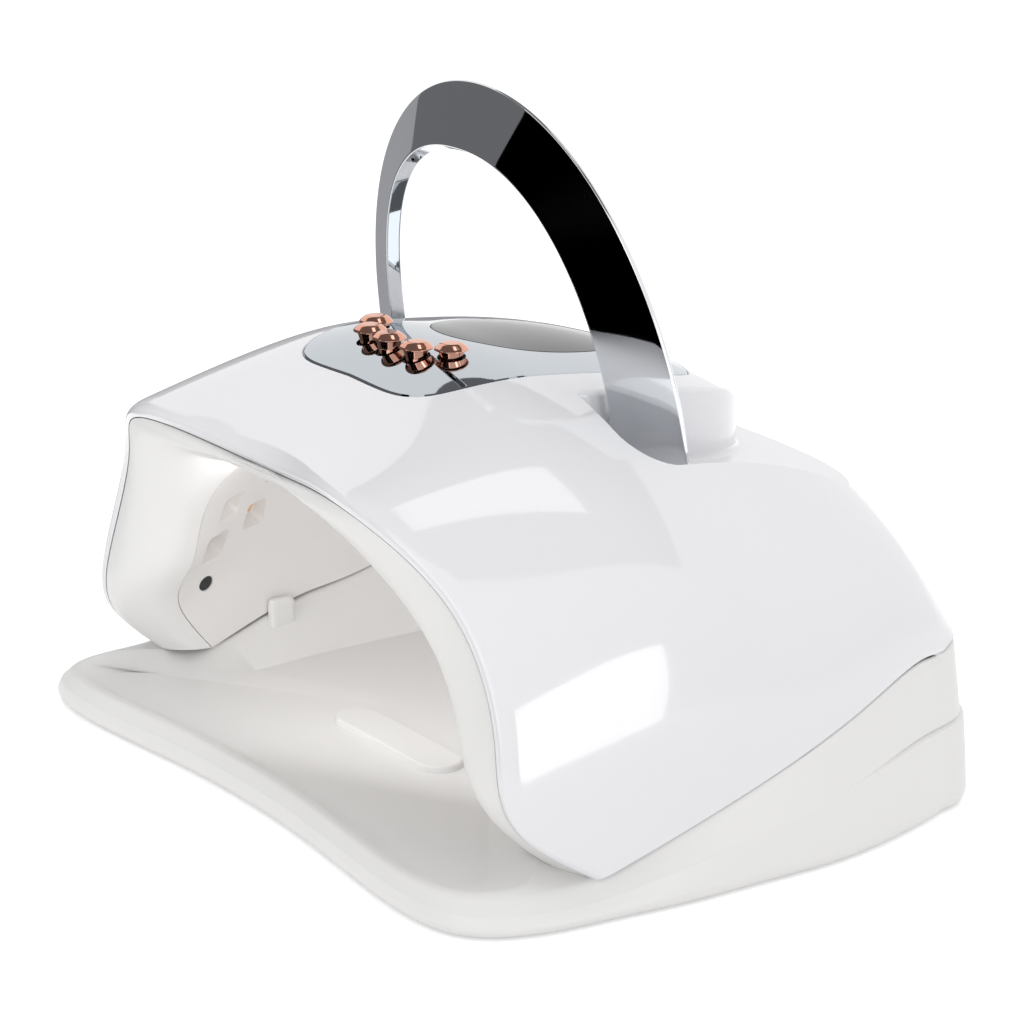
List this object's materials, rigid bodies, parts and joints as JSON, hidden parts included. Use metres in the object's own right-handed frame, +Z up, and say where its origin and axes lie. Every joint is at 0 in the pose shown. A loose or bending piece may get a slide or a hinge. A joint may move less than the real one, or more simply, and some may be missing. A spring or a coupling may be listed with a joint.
{
  "type": "nail lamp",
  "caption": "Arched nail lamp on a detachable base plate, with a hand cavity, a mirror control panel with push buttons and a conical fold-back handle.",
  "frame": {"origin": "on the table, under the middle of the whole lamp's bounding box", "axes": "+X to the lamp's right as seen from the front, +Y to the rear, away from the hand opening, +Z up"},
  "size_m": [0.2464, 0.1886, 0.1896],
  "materials": {
    "gloss_white": "high gloss",
    "satin_white": "satin",
    "liner_white": "satin, reflective",
    "bright_plate": "plated plastic, mirror bright",
    "display_grey": "clear window over a dark display",
    "copper_plate": "plated plastic, rose gold",
    "rubber_grey": "soft matte",
    "steel": "bare",
    "board_white": "matte",
    "board_green": "matte",
    "led_amber": "clear over amber",
    "part_black": "matte"
  },
  "bodies": {
    "base": {"base_plate": "satin_white", "rubber_foot_1": "rubber_grey", "rubber_foot_2": "rubber_grey", "rubber_foot_3": "rubber_grey", "rubber_foot_4": "rubber_grey", "base_magnet_right": "steel", "base_magnet_left": "steel"},
    "lamp": {"top_shell": "gloss_white", "front_bezel": "satin_white", "mirror_panel": "bright_plate", "display_window": "display_grey", "reflector_liner": "liner_white", "under_cover": "satin_white", "control_board": "board_green", "display_module": "part_black", "power_inlet": "part_black", "pivot_pin_right": "steel", "pivot_pin_left": "steel", "hand_sensor_right": "part_black", "hand_sensor_left": "part_black", "hood_magnet_right": "steel", "hood_magnet_left": "steel", "board_screw_1": "steel", "board_screw_2": "steel", "board_screw_3": "steel", "board_screw_4": "steel", "switch_1": "part_black", "switch_2": "part_black", "switch_3": "part_black", "switch_4": "part_black", "switch_5": "part_black", "led_right_low_1": "led_amber", "led_right_low_2": "led_amber", "led_right_low_3": "led_amber", "led_right_middle_1": "led_amber", "led_right_middle_2": "led_amber", "led_right_high_1": "led_amber", "led_left_low_1": "led_amber", "led_left_low_2": "led_amber", "led_left_low_3": "led_amber", "led_left_middle_1": "led_amber", "led_left_middle_2": "led_amber", "led_left_high_1": "led_amber", "led_roof_1": "led_amber", "led_roof_2": "led_amber", "led_roof_3": "led_amber", "led_strip_right_low": "board_white", "led_strip_right_middle": "board_white", "led_strip_right_high": "board_white", "led_strip_left_low": "board_white", "led_strip_left_middle": "board_white", "led_strip_left_high": "board_white", "led_strip_roof": "board_white"},
    "handle": {"handle": "bright_plate"},
    "button_1": {"button_1": "copper_plate"},
    "button_2": {"button_2": "copper_plate"},
    "button_3": {"button_3": "copper_plate"},
    "button_4": {"button_4": "copper_plate"},
    "button_5": {"button_5": "copper_plate"}
  },
  "joints": [
    {"name": "lamp_lift", "type": "slide", "parent": "base", "child": "lamp", "axis": [0, 0, 1], "range_m": [0, 0.08]},
    {"name": "handle_fold", "type": "hinge", "parent": "lamp", "child": "handle", "pos_m": [0, 0.00064, 0.103], "axis": [-1, 0, 0], "range_deg": [0, 104]},
    {"name": "button_1_press", "type": "slide", "parent": "lamp", "child": "button_1", "axis": [0, 0, -1], "range_m": [0, 0.0012], "stiffness_N_per_m": 800},
    {"name": "button_2_press", "type": "slide", "parent": "lamp", "child": "button_2", "axis": [0, 0, -1], "range_m": [0, 0.0012], "stiffness_N_per_m": 800},
    {"name": "button_3_press", "type": "slide", "parent": "lamp", "child": "button_3", "axis": [0, 0, -1], "range_m": [0, 0.0012], "stiffness_N_per_m": 800},
    {"name": "button_4_press", "type": "slide", "parent": "lamp", "child": "button_4", "axis": [0, 0, -1], "range_m": [0, 0.0012], "stiffness_N_per_m": 800},
    {"name": "button_5_press", "type": "slide", "parent": "lamp", "child": "button_5", "axis": [0, 0, -1], "range_m": [0, 0.0012], "stiffness_N_per_m": 800}
  ]
}
